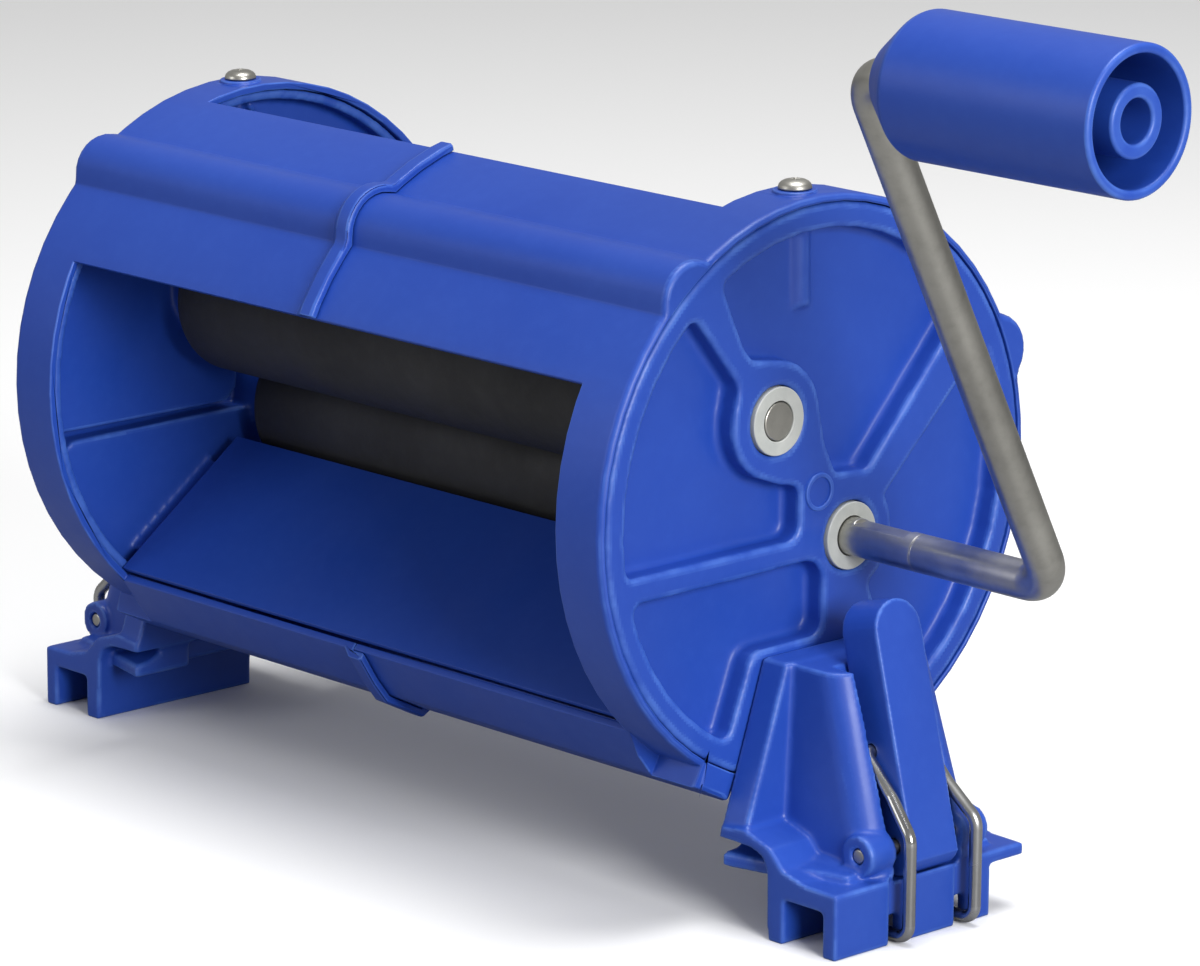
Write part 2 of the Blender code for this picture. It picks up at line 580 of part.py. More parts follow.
# ---------------------------------------------------------------- crank and grip
def add_crank(parent, grip_parent):
    inner_end = CORE_END - CRANK_SOCKET
    reach = HALF + CRANK_REACH
    shoulder = HALF + GRIP_END - GRIP_RECESS + 0.012
    corners = [(inner_end, *DRIVE_AXIS), (reach, *DRIVE_AXIS), (reach, *GRIP_AXIS), (shoulder, *GRIP_AXIS)]
    bend = rounded_path(corners, (CRANK_BEND, CRANK_BEND), 7)
    crank = add_object("crank_rod", sweep(bend, SHAFT_RADIUS, 20), STEEL, parent)
    tip = rod((shoulder - 0.002, *GRIP_AXIS), (shoulder + TIP_LENGTH, *GRIP_AXIS), TIP_RADIUS, 16)
    combine(crank, tip, "UNION")
    flat_start = HALF + 0.004
    flat_y, flat_z = DRIVE_AXIS
    flat = [(flat_y - 0.01, flat_z + SHAFT_RADIUS - CRANK_FLAT), (flat_y + 0.01, flat_z + SHAFT_RADIUS - CRANK_FLAT),
            (flat_y + 0.01, flat_z + 0.01), (flat_y - 0.01, flat_z + 0.01)]
    combine(crank, prism(flat, flat_start, flat_start + CRANK_FLAT_LENGTH, "X"))
    pin_x = CORE_END - CROSS_PIN_INSET
    combine(crank, cross_pin_rod(pin_x, CROSS_PIN_RADIUS + GAP))
    add_object("cross_pin", cross_pin_rod(pin_x, CROSS_PIN_RADIUS, 0.001), BRIGHT_STEEL, parent)

    shaft_end = inner_end - 0.002
    shaft = [(-HALF - BUSH_PROUD, SHAFT_RADIUS - 0.0005), (-HALF - BUSH_PROUD + 0.0005, SHAFT_RADIUS),
             (shaft_end, SHAFT_RADIUS)]
    add_object("drive_shaft", turned(shaft, DRIVE_AXIS, 20), STEEL, parent)
    core = add_core("drive_roller_core", DRIVE_AXIS, parent)
    combine(core, cross_pin_rod(pin_x, CROSS_PIN_RADIUS + GAP))
    add_cover("drive_roller_cover", DRIVE_AXIS, parent)

    lip_in = shoulder + 2 * GAP
    bore = SHAFT_RADIUS + RUNNING_GAP
    start, end = HALF + GRIP_START, HALF + GRIP_END
    recess = end - GRIP_RECESS
    inner_wall = GRIP_RADIUS - GRIP_WALL
    hub_end = end - GRIP_HUB_INSET
    profile = [(start, GRIP_NECK_RADIUS - 0.001), (start + 0.001, GRIP_NECK_RADIUS), (start + GRIP_CONE, GRIP_RADIUS),
               (end - 0.0020, GRIP_RADIUS), (end - 0.0006, GRIP_RADIUS - 0.0007), (end, GRIP_RADIUS - 0.0019),
               (end - 0.0006, inner_wall + 0.0007), (end - 0.0020, inner_wall),
               (recess, inner_wall - 0.001), (recess, GRIP_HUB_RADIUS), (hub_end - 0.001, GRIP_HUB_RADIUS),
               (hub_end, GRIP_HUB_RADIUS - 0.001), (hub_end, bore), (lip_in + GRIP_LIP, bore),
               (lip_in + GRIP_LIP, TIP_RADIUS + RUNNING_GAP), (lip_in, TIP_RADIUS + RUNNING_GAP), (lip_in, bore),
               (start + 0.004, bore), (start, bore + 0.0022)]
    grip = add_object("grip", turned(profile, GRIP_AXIS, 40, closed=True), BLUE_PLASTIC, grip_parent)
    for k in range(4):
        turn = 45 + 90 * k
        centre = Vector(GRIP_AXIS)
        rib = bar(centre + Vector(polar(GRIP_HUB_RADIUS - 0.0015, turn)),
                  centre + Vector(polar(inner_wall + GRIP_WALL / 3, turn)), GRIP_RIB)
        combine(grip, prism(rib, recess - 0.001, end - GRIP_RIB_INSET, "X"), "UNION")

    nut_start = lip_in + GRIP_LIP + GAP
    nut = [(nut_start, TIP_RADIUS + GAP), (nut_start, bore - RUNNING_GAP),
           (nut_start + PUSH_NUT, bore - RUNNING_GAP), (nut_start + PUSH_NUT, TIP_RADIUS + GAP)]
    add_object("grip_push_nut", turned(nut, GRIP_AXIS, 20, closed=True), BRIGHT_STEEL, parent)


def cross_pin_rod(x, radius, inset=-0.004):
    """A cylinder across the drive core on the cross pin's axis; a negative inset runs past the core."""
    y, z = DRIVE_AXIS
    reach = CORE_RADIUS - inset
    return rod((x, y, z - reach), (x, y, z + reach), radius, 12)


# ---------------------------------------------------------------- clamps
def lever_point(u, v):
    """(x, z) of a point on the lever: u up along it from its pin, v out through its face."""
    lean = math.radians(LEVER_LEAN)
    return (HALF + PIN_REACH - u * math.sin(lean) + v * math.cos(lean),
            -PIN_DROP + u * math.cos(lean) + v * math.sin(lean))


def flare_section(way, reach, top, half):
    """Section of the hollow curve that runs from a side of the tower down to the shelf."""
    root = TOWER_TOP_HALF - 0.004
    shelf = SHELF_DROP - 0.0025
    section = [(root, -top), (root, -SHELF_DROP - 0.002), (half, -SHELF_DROP - 0.002)]
    for k in range(6):
        turn = math.radians(15 * k)
        section.append((half - (half - root) * math.sin(turn), -shelf + (shelf - top) * (1 - math.cos(turn))))
    return [(HALF + reach, way * y, z) for y, z in section]


def add_clamp_housing(side):
    name = "clamp_housing_right" if side > 0 else "clamp_housing_left"
    plate_span = (HALF + PLATE_START, HALF + PLATE_THICKNESS)
    housing = add_object(name, prism(plate_outline(), *plate_span, "X"), BLUE_PLASTIC, side=side)

    tower_in = HALF + PLATE_THICKNESS / 2
    tower = skin([[(tower_in, -half, z), (HALF + reach, -half, z), (HALF + reach, half, z), (tower_in, half, z)]
                  for half, reach, z in ((TOWER_TOP_HALF, TOWER_TOP_REACH, -CLAMP_TOP - 0.0005),
                                         (TOWER_FOOT_HALF, CLAMP_REACH - 0.0006, -SHELF_DROP - 0.001))])
    tower.edges.ensure_lookup_table()
    corners = [e for e in tower.edges if min(v.co.x for v in e.verts) > HALF + TOWER_TOP_REACH - 0.001
               and abs(e.verts[0].co.z - e.verts[1].co.z) > 0.01]
    bmesh.ops.bevel(tower, geom=corners, offset=TOWER_ROUND, segments=5, profile=0.5, affect="EDGES")
    combine(housing, tower, "UNION", side)

    inner_a, inner_b = INNER_LEG
    outer_a = inner_b + RIM_SLOT
    section = [(0.0009, -0.0985), (0.0009, -0.1013), (0.0150, -0.1023), (0.0190, -0.1040), (0.0208, -0.1080),
               (inner_a, -FOOT_DROP), (inner_b, -FOOT_DROP), (inner_b, -RIM_SLOT_TOP), (outer_a, -RIM_SLOT_TOP),
               (outer_a, -FOOT_DROP), (CLAMP_REACH, -FOOT_DROP), (CLAMP_REACH, -SHELF_DROP),
               (0.0370, -SHELF_DROP + 0.0003), (0.0280, -0.1065), (0.0220, -0.1005), (0.0110, -0.0970)]
    block = [(HALF + reach, z) for reach, z in section]
    combine(housing, prism(block, -PLATE_FOOT_HALF + 0.0001, PLATE_FOOT_HALF - 0.0007, "Y"), "UNION", side)
    for way in (-1, 1):
        combine(housing, skin([flare_section(way, *size) for size in FLARES]), "UNION", side)
    x, z = lever_point(0, 0)
    combine(housing, cylinder_y(x, z, BARREL_RADIUS, -BARREL_HALF, BARREL_HALF), "UNION", side)

    back = -LEVER_BACK - 0.0012
    channel = [lever_point(LEVER_LENGTH, back), lever_point(0.006, back)]
    for k in range(7):
        turn = math.radians(180 + 22 * k)
        channel.append((x + SCOOP_RADIUS * math.cos(turn), z + SCOOP_RADIUS * math.sin(turn)))
    channel += [(HALF + CLAMP_REACH + 0.01, z - 0.0075), (HALF + CLAMP_REACH + 0.01, -CLAMP_TOP + 0.02)]
    combine(housing, prism(channel, -CHANNEL_HALF, CHANNEL_HALF, "Y"), side=side)
    combine(housing, cylinder_y(x, z, PIN_RADIUS + RUNNING_GAP, -0.04, 0.04, 16), side=side)
    rear = [(HALF + INNER_LEG[0] - 0.005, -REAR_CUT_DROP), (HALF + INNER_LEG[0] - 0.005, -0.15),
            (HALF + CLAMP_REACH + 0.01, -0.15), (HALF + CLAMP_REACH + 0.01, -REAR_CUT_DROP)]
    combine(housing, prism(rear, REAR_CUT_Y, 0.06, "Y"), side=side)
    hollow = [(-HOLLOW_HALF, -0.056), (HOLLOW_HALF, -0.056), (HOLLOW_HALF, -0.094), (-HOLLOW_HALF, -0.094)]
    combine(housing, prism(hollow, HALF - 0.005, HALF + 0.017, "X"), side=side)
    for y in (-BAIL_LEG_Y, BAIL_LEG_Y):
        groove = [(HALF + CLAMP_REACH - GROOVE_DEPTH, -FOOT_DROP - 0.01), (HALF + CLAMP_REACH + 0.01, -FOOT_DROP - 0.01),
                  (HALF + CLAMP_REACH + 0.01, z - BARREL_RADIUS - 0.0005), (HALF + CLAMP_REACH - GROOVE_DEPTH, z - BARREL_RADIUS - 0.0005)]
        combine(housing, prism(groove, y - GROOVE_WIDTH / 2, y + GROOVE_WIDTH / 2, "Y"), side=side)
        notch = [(HALF + outer_a - 0.002, -FOOT_DROP - 0.01), (HALF + CLAMP_REACH + 0.01, -FOOT_DROP - 0.01),
                 (HALF + CLAMP_REACH + 0.01, -NOTCH_TOP), (HALF + outer_a - 0.002, -NOTCH_TOP)]
        combine(housing, prism(notch, y - NOTCH_WIDTH / 2, y + NOTCH_WIDTH / 2, "Y"), side=side)
    for y in (-CLAMP_SCREW_Y, CLAMP_SCREW_Y):
        hole = rod((HALF - 0.01, y, -CLAMP_SCREW_DROP), (HALF + CLAMP_SCREW_DEPTH + GAP, y, -CLAMP_SCREW_DROP),
                   CLAMP_SCREW_RADIUS + RUNNING_GAP, 12)
        combine(housing, hole, side=side)


def add_clamp_screws(side):
    """Two screws from inside the drum, through the cap into the clamp housing."""
    seat = HALF - POCKET_DEPTH - CAP_WALL - GAP
    profile = [(seat - 0.0025, 0.0034), (seat - 0.001, 0.004), (seat, 0.004),
               (seat, CLAMP_SCREW_RADIUS), (HALF + CLAMP_SCREW_DEPTH, CLAMP_SCREW_RADIUS)]
    word = "right" if side > 0 else "left"
    for place, y in (("front", -CLAMP_SCREW_Y), ("back", CLAMP_SCREW_Y)):
        add_object(f"clamp_screw_{word}_{place}", turned(profile, (y, -CLAMP_SCREW_DROP), 12), STEEL, side=side)


def add_lever(side, parent):
    name = "clamp_lever_right" if side > 0 else "clamp_lever_left"
    outline = [lever_point(LEVER_LENGTH, LEVER_FACE), lever_point(LEVER_LENGTH, -LEVER_BACK)]
    start = 180 - math.degrees(math.asin(LEVER_BACK / LEVER_FOOT)) - 90
    end = math.degrees(math.asin(LEVER_FACE / LEVER_FOOT))
    first, last = -90 - (90 - start), -90 + end
    for k in range(9):
        turn = math.radians(first + (last - first) * k / 8)
        outline.append(lever_point(LEVER_FOOT * math.sin(turn), LEVER_FOOT * math.cos(turn)))
    lever_shape = prism(outline, -LEVER_HALF, LEVER_HALF, "Y")
    top = lever_point(LEVER_LENGTH, 0)[1] - 0.006
    ends = [e for e in lever_shape.edges if all(v.co.z > top for v in e.verts)
            and abs(e.verts[0].co.y - e.verts[1].co.y) < 1e-6]
    bmesh.ops.bevel(lever_shape, geom=ends, offset=LEVER_HALF - 0.0002, segments=7, profile=0.5, affect="EDGES")
    lever = add_object(name, lever_shape, BLUE_PLASTIC, parent, side)
    combine(lever, cylinder_y(*lever_point(0, 0), PIN_RADIUS + RUNNING_GAP, -0.02, 0.02, 16), side=side)
    pivot = lever_point(BAIL_PIVOT_U, BAIL_PIVOT_V)
    combine(lever, cylinder_y(*pivot, WIRE_RADIUS + RUNNING_GAP, -0.02, 0.02, 12), side=side)


def add_lever_pin(side):
    name = "lever_pin_right" if side > 0 else "lever_pin_left"
    add_object(name, cylinder_y(*lever_point(0, 0), PIN_RADIUS, -PIN_HALF, PIN_HALF, 14), STEEL, side=side)


def add_bail(side, parent):
    """One bent wire: two hooks, two legs and a cross bar through the lever."""
    name = "clamp_bail_right" if side > 0 else "clamp_bail_left"
    x, z = lever_point(BAIL_PIVOT_U, BAIL_PIVOT_V)
    leg = HALF + BAIL_LEG_REACH
    elbow = 0.0113
    half = [(x, BAIL_ARM_Y, z), (x + elbow, BAIL_ARM_Y, z - elbow), (leg, BAIL_LEG_Y, z - (leg - x)),
            (leg, BAIL_LEG_Y, -HOOK_DROP), (HALF + HOOK_REACH, BAIL_LEG_Y, -HOOK_DROP)]
    corners = half[::-1] + [(px, -py, pz) for px, py, pz in half]
    radii = (0.0042, 0.006, 0.008, 0.0026, 0.0026, 0.008, 0.006, 0.0042)
    add_object(name, sweep(rounded_path(corners, radii, 4), WIRE_RADIUS, 8), BRIGHT_STEEL, parent, side)


# ---------------------------------------------------------------- the object
for end in (1, -1):
    add_sleeve(end)
    add_end_cap(end)
    add_casing_screw(end)
    add_clamp_housing(end)
    add_clamp_screws(end)
    add_lever_pin(end)
    lever_x, lever_z = lever_point(0, 0)
    bail_x, bail_z = lever_point(BAIL_PIVOT_U, BAIL_PIVOT_V)
    word = "right" if end > 0 else "left"
    lever_axis = make_empty(f"lever_axis_{word}", (end * lever_x, 0, lever_z), WRINGER)
    bail_axis = make_empty(f"bail_axis_{word}", (end * bail_x, 0, bail_z), lever_axis)
    add_lever(end, lever_axis)
    add_bail(end, bail_axis)
    add_bush(f"drive_bush_{word}", DRIVE_AXIS, end)
    add_bush(f"idler_bush_{word}", IDLER_AXIS, end)

drive_axis = make_empty("drive_axis", (0, *DRIVE_AXIS), WRINGER)
grip_axis = make_empty("grip_axis", (HALF + GRIP_START, *GRIP_AXIS), drive_axis)
add_crank(drive_axis, grip_axis)

idler_axis = make_empty("idler_axis", (0, *IDLER_AXIS), WRINGER)
shaft_reach = HALF + BUSH_PROUD
idler_profile = [(-shaft_reach, SHAFT_RADIUS - 0.0005), (-shaft_reach + 0.0005, SHAFT_RADIUS),
                 (shaft_reach - 0.0005, SHAFT_RADIUS), (shaft_reach, SHAFT_RADIUS - 0.0005)]
add_object("idler_shaft", turned(idler_profile, IDLER_AXIS, 20), STEEL, idler_axis)
add_core("idler_roller_core", IDLER_AXIS, idler_axis)
add_cover("idler_roller_cover", IDLER_AXIS, idler_axis)

tray = [tray_point(0), tray_point(0, TRAY_THICKNESS)]
tray_length = (Vector(TRAY_BACK) - Vector(TRAY_LIP)).length
tray += [tray_point(tray_length, TRAY_THICKNESS), tray_point(tray_length)]
add_object("feed_tray", prism(tray, -(HALF - CAP_DEPTH - GAP), HALF - CAP_DEPTH - GAP, "X"), BLUE_PLASTIC)
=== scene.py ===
"""A clamp-on roller wringer, finished: moulded blue casing, rubber rollers and zinc-plated steel."""
import math

import bmesh
import bpy
from mathutils import Matrix, Vector


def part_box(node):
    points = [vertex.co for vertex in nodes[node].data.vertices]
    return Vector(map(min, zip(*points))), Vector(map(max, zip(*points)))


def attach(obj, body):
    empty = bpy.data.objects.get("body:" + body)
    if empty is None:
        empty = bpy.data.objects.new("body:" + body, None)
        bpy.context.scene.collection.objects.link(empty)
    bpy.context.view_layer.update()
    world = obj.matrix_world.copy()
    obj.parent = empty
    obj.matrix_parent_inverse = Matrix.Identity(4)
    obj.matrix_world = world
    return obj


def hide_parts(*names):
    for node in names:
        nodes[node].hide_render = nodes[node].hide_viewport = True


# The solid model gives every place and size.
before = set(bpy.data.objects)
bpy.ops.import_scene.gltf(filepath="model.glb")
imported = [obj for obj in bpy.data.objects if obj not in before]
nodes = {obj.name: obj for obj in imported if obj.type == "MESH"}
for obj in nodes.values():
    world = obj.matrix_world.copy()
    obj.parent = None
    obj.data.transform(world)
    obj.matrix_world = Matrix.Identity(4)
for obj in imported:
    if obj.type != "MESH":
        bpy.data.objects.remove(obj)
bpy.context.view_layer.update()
scene = bpy.context.scene
cap_low, cap_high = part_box("end_cap_right")
other_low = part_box("end_cap_left")[0]
DRUM = Vector(((cap_high.x + other_low.x) / 2, (cap_low.y + cap_high.y) / 2,
               (cap_low.z + cap_high.z) / 2))
HALF = cap_high.x - DRUM.x      # middle of the drum to an end cap's face


# ---------------------------------------------------------------- camera, lamps and table
# The wringer stands on a pale table under soft lamps, seen from the feed side with the crank towards
# the viewer, through a long lens.
CAMERA_LENS = 172.3
CAMERA_PLACE = (1.19451, -1.22270, 0.41914)     # from the middle of the right cap's face
CAMERA_AIM = (-0.03032, -0.06378, 0.00759)
CAMERA_ROLL = 0.0069
cap_middle = DRUM + Vector((HALF, 0, 0))
camera_data = bpy.data.cameras.new("camera")
camera = bpy.data.objects.new("camera", camera_data)
scene.collection.objects.link(camera)
camera_data.lens = CAMERA_LENS
camera_data.sensor_width = 36.0
camera_data.clip_start = 0.1
camera_data.clip_end = 30.0
camera.location = cap_middle + Vector(CAMERA_PLACE)
view_line = cap_middle + Vector(CAMERA_AIM) - camera.location
camera_turn = view_line.to_track_quat("-Z", "Y").to_matrix() @ Matrix.Rotation(CAMERA_ROLL, 3, "Z")
camera.rotation_euler = camera_turn.to_euler()
scene.camera = camera


def soft_lamp(name, place, aim, size, power):
    """A square lamp that faces a point."""
    data = bpy.data.lights.new(name, "AREA")
    data.shape = "SQUARE"
    data.size = size
    data.energy = power
    lamp = bpy.data.objects.new(name, data)
    lamp.location = place
    lamp.rotation_euler = (Vector(aim) - lamp.location).to_track_quat("-Z", "Y").to_euler()
    scene.collection.objects.link(lamp)


SEEN = 1.0                      # how the table and the surround look
ROOM_SHINE = 0.34               # and how strongly they light the wringer
TABLE_SHINE = 0.30
soft_lamp("lamp_over", (0.2, 0.1, 2.0), (0, 0, 0.1), 1.0, 32)
soft_lamp("lamp_front", (-0.9, -2.0, 0.9), (0, 0, 0.1), 0.9, 7)
soft_lamp("lamp_crank_side", (2.3, -0.6, 0.9), (0, 0, 0.1), 0.9, 60)


def seen_or_shining(tree, seen, shining):
    """A grey that is one value to the eye and another where it lights the wringer."""
    ray = tree.nodes.new("ShaderNodeLightPath").outputs["Is Camera Ray"]
    node = tree.nodes.new("ShaderNodeMix")
    node.data_type = "RGBA"
    tree.links.new(ray, node.inputs[0])
    node.inputs[6].default_value = (shining, shining, shining, 1)
    node.inputs[7].default_value = (seen, seen, seen, 1)
    return node.outputs[2]


world = bpy.data.worlds.new("room")
world.use_nodes = True
world.node_tree.links.new(seen_or_shining(world.node_tree, SEEN, ROOM_SHINE),
                          world.node_tree.nodes["Background"].inputs["Color"])
scene.world = world
scene.view_settings.view_transform = "Standard"

table = bmesh.new()
bmesh.ops.create_grid(table, x_segments=1, y_segments=1, size=12)
table_mesh = bpy.data.meshes.new("table")
table.to_mesh(table_mesh)
table.free()
table_object = bpy.data.objects.new("table", table_mesh)
scene.collection.objects.link(table_object)
table_paint = bpy.data.materials.new("pale_table")
table_paint.use_nodes = True
table_shader = table_paint.node_tree.nodes["Principled BSDF"]
table_paint.node_tree.links.new(seen_or_shining(table_paint.node_tree, SEEN, TABLE_SHINE),
                                table_shader.inputs["Base Color"])
table_shader.inputs["Roughness"].default_value = 0.7
table_mesh.materials.append(table_paint)


# ---------------------------------------------------------------- casing sleeves
# The drum is two moulded polypropylene sleeves that meet at a raised seam, open at the front for feeding
# and at the top for the wrung washing. The plastic is dyed through, slightly cloudy, with a fine grain,
# and its outside edges carry a painted highlight, a paler colour on the corners.
def new_group(name, inputs, outputs):
    """A shared surface effect with named inputs and outputs."""
    group = bpy.data.node_groups.new(name, "ShaderNodeTree")
    for label, kind, value in inputs:
        socket = group.interface.new_socket(label, in_out="INPUT", socket_type=kind)
        socket.default_value = value
    for label, kind in outputs:
        group.interface.new_socket(label, in_out="OUTPUT", socket_type=kind)
    return group, group.nodes.new("NodeGroupInput"), group.nodes.new("NodeGroupOutput")


def object_place(tree):
    return tree.nodes.new("ShaderNodeTexCoord").outputs["Object"]


def noise(tree, scale, detail, coordinates, roughness=0.55):
    node = tree.nodes.new("ShaderNodeTexNoise")
    node.inputs["Scale"].default_value = scale
    node.inputs["Detail"].default_value = detail
    node.inputs["Roughness"].default_value = roughness
    tree.links.new(coordinates, node.inputs["Vector"])
    return node.outputs["Fac"]


def spread(tree, value, low, high, out_low, out_high):
    """Maps a value from one range to another and clamps it."""
    node = tree.nodes.new("ShaderNodeMapRange")
    for label, number in (("From Min", low), ("From Max", high), ("To Min", out_low), ("To Max", out_high)):
        node.inputs[label].default_value = number
    tree.links.new(value, node.inputs["Value"])
    return node.outputs["Result"]


def combined(tree, operation, first, second):
    node = tree.nodes.new("ShaderNodeMath")
    node.operation = operation
    for socket, value in zip(node.inputs, (first, second)):
        if isinstance(value, (int, float)):
            socket.default_value = value
        else:
            tree.links.new(value, socket)
    return node.outputs["Value"]


def mixed(tree, factor, first, second):
    node = tree.nodes.new("ShaderNodeMix")
    node.data_type = "RGBA"
    for socket, value in ((node.inputs[0], factor), (node.inputs[6], first), (node.inputs[7], second)):
        if isinstance(value, (tuple, int, float)):
            socket.default_value = value
        else:
            tree.links.new(value, socket)
    return node.outputs[2]


# slow mottling of a dyed or cast surface between two shades
cloudy, start, end = new_group(
    "cloudy_colour",
    (("Colour", "NodeSocketColor", (0.1, 0.1, 0.1, 1)), ("Pale", "NodeSocketColor", (0.2, 0.2, 0.2, 1)),
     ("Amount", "NodeSocketFloat", 0.5)),
    (("Colour", "NodeSocketColor"),))
where = object_place(cloudy)
blotch = spread(cloudy, noise(cloudy, 12, 3, where), 0.30, 0.72, 0, 1)
speck = spread(cloudy, noise(cloudy, 260, 4, where), 0.45, 0.75, 0, 0.5)
share = combined(cloudy, "MULTIPLY", combined(cloudy, "ADD", blotch, speck), start.outputs["Amount"])
cloudy.links.new(mixed(cloudy, share, start.outputs["Colour"], start.outputs["Pale"]), end.inputs["Colour"])

# bump and roughness of a spark-eroded or ground surface
grain, start, end = new_group(
    "fine_grain",
    (("Scale", "NodeSocketFloat", 1800.0), ("Depth", "NodeSocketFloat", 0.1),
     ("Roughness", "NodeSocketFloat", 0.45), ("Spread", "NodeSocketFloat", 0.08)),
    (("Normal", "NodeSocketVector"), ("Roughness", "NodeSocketFloat")))
where = object_place(grain)
pits = noise(grain, 1800, 3, where, 0.6)
grain.links.new(start.outputs["Scale"], pits.node.inputs["Scale"])
bump = grain.nodes.new("ShaderNodeBump")
bump.inputs["Distance"].default_value = 0.0002
grain.links.new(start.outputs["Depth"], bump.inputs["Strength"])
grain.links.new(pits, bump.inputs["Height"])
grain.links.new(bump.outputs["Normal"], end.inputs["Normal"])
swing = combined(grain, "MULTIPLY", spread(grain, noise(grain, 40, 3, where), 0.3, 0.7, -1, 1),
                 start.outputs["Spread"])
grain.links.new(combined(grain, "ADD", swing, start.outputs["Roughness"]), end.inputs["Roughness"])

# a painted highlight mask, strong on outside corners, which each finished mesh keeps as "corner", broken up by noise
highlight_group, start, end = new_group("painted_edge_highlight", (("Amount", "NodeSocketFloat", 0.5),),
                               (("Mask", "NodeSocketFloat"),))
corner_of_mesh = highlight_group.nodes.new("ShaderNodeAttribute")
corner_of_mesh.attribute_name = "corner"
corner = spread(highlight_group, corner_of_mesh.outputs["Fac"], 0.25, 0.9, 0, 1)
broken = spread(highlight_group, noise(highlight_group, 90, 4, object_place(highlight_group)), 0.38, 0.62, 0.2, 1)
highlight_mask = combined(highlight_group, "MULTIPLY", corner, broken)
highlight_group.links.new(combined(highlight_group, "MULTIPLY", highlight_mask, start.outputs["Amount"]), end.inputs["Mask"])


def put_group(tree, group, **values):
    node = tree.nodes.new("ShaderNodeGroup")
    node.node_tree = group
    for label, value in values.items():
        node.inputs[label].default_value = value
    return node


# The edge colour is a painted highlight, laid paler on the outside corners.
def moulded(name, colour, pale, edge, roughness, depth, cloud, highlight_amount, scale=1800.0, spread_by=0.06):
    """A dyed, grained material with mottling and a painted highlight on outside edges; returns it with its tree and
    shader.
    """
    material = bpy.data.materials.new(name)
    material.use_nodes = True
    tree = material.node_tree
    shader = tree.nodes["Principled BSDF"]
    shade = put_group(tree, cloudy, Colour=(*colour, 1), Pale=(*pale, 1), Amount=cloud)
    texture = put_group(tree, grain, Scale=scale, Depth=depth, Roughness=roughness, Spread=spread_by)
    corner_highlight = put_group(tree, highlight_group, Amount=highlight_amount)
    # the paler edge colour mixed over outside corners is a painted highlight
    tree.links.new(mixed(tree, corner_highlight.outputs["Mask"], shade.outputs["Colour"], (*edge, 1)),
                   shader.inputs["Base Color"])
    tree.links.new(texture.outputs["Roughness"], shader.inputs["Roughness"])
    tree.links.new(texture.outputs["Normal"], shader.inputs["Normal"])
    shader.inputs["IOR"].default_value = 1.46
    return material


BLUE = moulded("blue_moulding", (0.011, 0.052, 0.350), (0.024, 0.082, 0.430), (0.070, 0.170, 0.560),
               0.42, 0.12, 0.35, 0.6)


PIECES = []


def make_piece(name, bm, material, body, replaced):
    """Turns a mesh into a smooth-shaded piece that rides on a body and stands for solids."""
    mesh = bpy.data.meshes.new(name)
    bm.to_mesh(mesh)
    bm.free()
    for old in ("custom_normal", "sharp_edge", "sharp_face"):
        if old in mesh.attributes:
            mesh.attributes.remove(mesh.attributes[old])
    mesh.shade_smooth()
    mesh.materials.append(material)
    piece = bpy.data.objects.new(name, mesh)
    scene.collection.objects.link(piece)
    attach(piece, body)
    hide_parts(*replaced)
    PIECES.append(piece)
    return piece


def round_edges(piece, radius, segments=3, above=30):
    edge = piece.modifiers.new("rounded_edges", "BEVEL")
    edge.width = radius
    edge.segments = segments
    edge.limit_method = "ANGLE"
    edge.angle_limit = math.radians(above)
    edge.use_clamp_overlap = False
    shading = piece.modifiers.new("even_shading", "WEIGHTED_NORMAL")
    shading.weight = 50


def solid_copy(node):
    """A copy of a solid with its triangles joined at their edges."""
    bm = bmesh.new()
    bm.from_mesh(nodes[node].data)
    bmesh.ops.remove_doubles(bm, verts=bm.verts, dist=1e-6)
    return bm


SLEEVE_EDGE = 0.0005
for side in ("right", "left"):
    sleeve = make_piece(f"sleeve_{side}", solid_copy(f"casing_sleeve_{side}"), BLUE, "casing",
                        [f"casing_sleeve_{side}"])
    round_edges(sleeve, SLEEVE_EDGE)


# ---------------------------------------------------------------- end caps
# Each end of the drum is closed by a moulded cap whose face is deeply recessed between ribs, with two bosses
# for the rollers' bushes.
CAP_GRID = 0.00098
CAP_SOFTNESS = 3


def softened(piece, grid, rounds):
    """Redraws a piece on a fine grid and smooths it, so corners are soft and hollows flow together."""
    redraw = piece.modifiers.new("redraw", "REMESH")
    redraw.mode = "VOXEL"
    redraw.voxel_size = grid
    redraw.use_smooth_shade = True
    soften = piece.modifiers.new("soften", "SMOOTH")
    soften.factor = 0.5
    soften.iterations = rounds
    bpy.context.view_layer.update()
    shape = bpy.data.meshes.new_from_object(piece.evaluated_get(bpy.context.evaluated_depsgraph_get()))
    piece.modifiers.clear()
    piece.data = shape


for side in ("right", "left"):
    cap = make_piece(f"cap_{side}", solid_copy(f"end_cap_{side}"), BLUE, "casing",
                     [f"end_cap_{side}"])
    softened(cap, CAP_GRID, CAP_SOFTNESS)


# ---------------------------------------------------------------- feed tray
# A plain moulded slope under the rollers carries the washing in; it sits on ledges of the two caps.
TRAY_EDGE = 0.0007
TRAY_LIP_RADIUS = 0.0896        # the front edge comes close to the sleeves' inside
TRAY_LIP_BAND = 0.006           # corners this close to the lowest one belong to the lip
TRAY_RUN = 0.0480
TRAY_RISE = 0.0357
tray_mesh = solid_copy("feed_tray")
tray_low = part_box("feed_tray")[0]
slope = Vector((0, TRAY_RUN, TRAY_RISE)).normalized()
for vert in tray_mesh.verts:
    if vert.co.z < tray_low.z + TRAY_LIP_BAND:
        from_axis = vert.co - DRUM
        from_axis.x = 0
        along = from_axis.dot(slope)
        aside = from_axis - slope * along
        vert.co -= slope * (math.sqrt(TRAY_LIP_RADIUS ** 2 - aside.length_squared) + along)
tray = make_piece("tray", tray_mesh, BLUE, "casing", ["feed_tray"])
round_edges(tray, TRAY_EDGE)


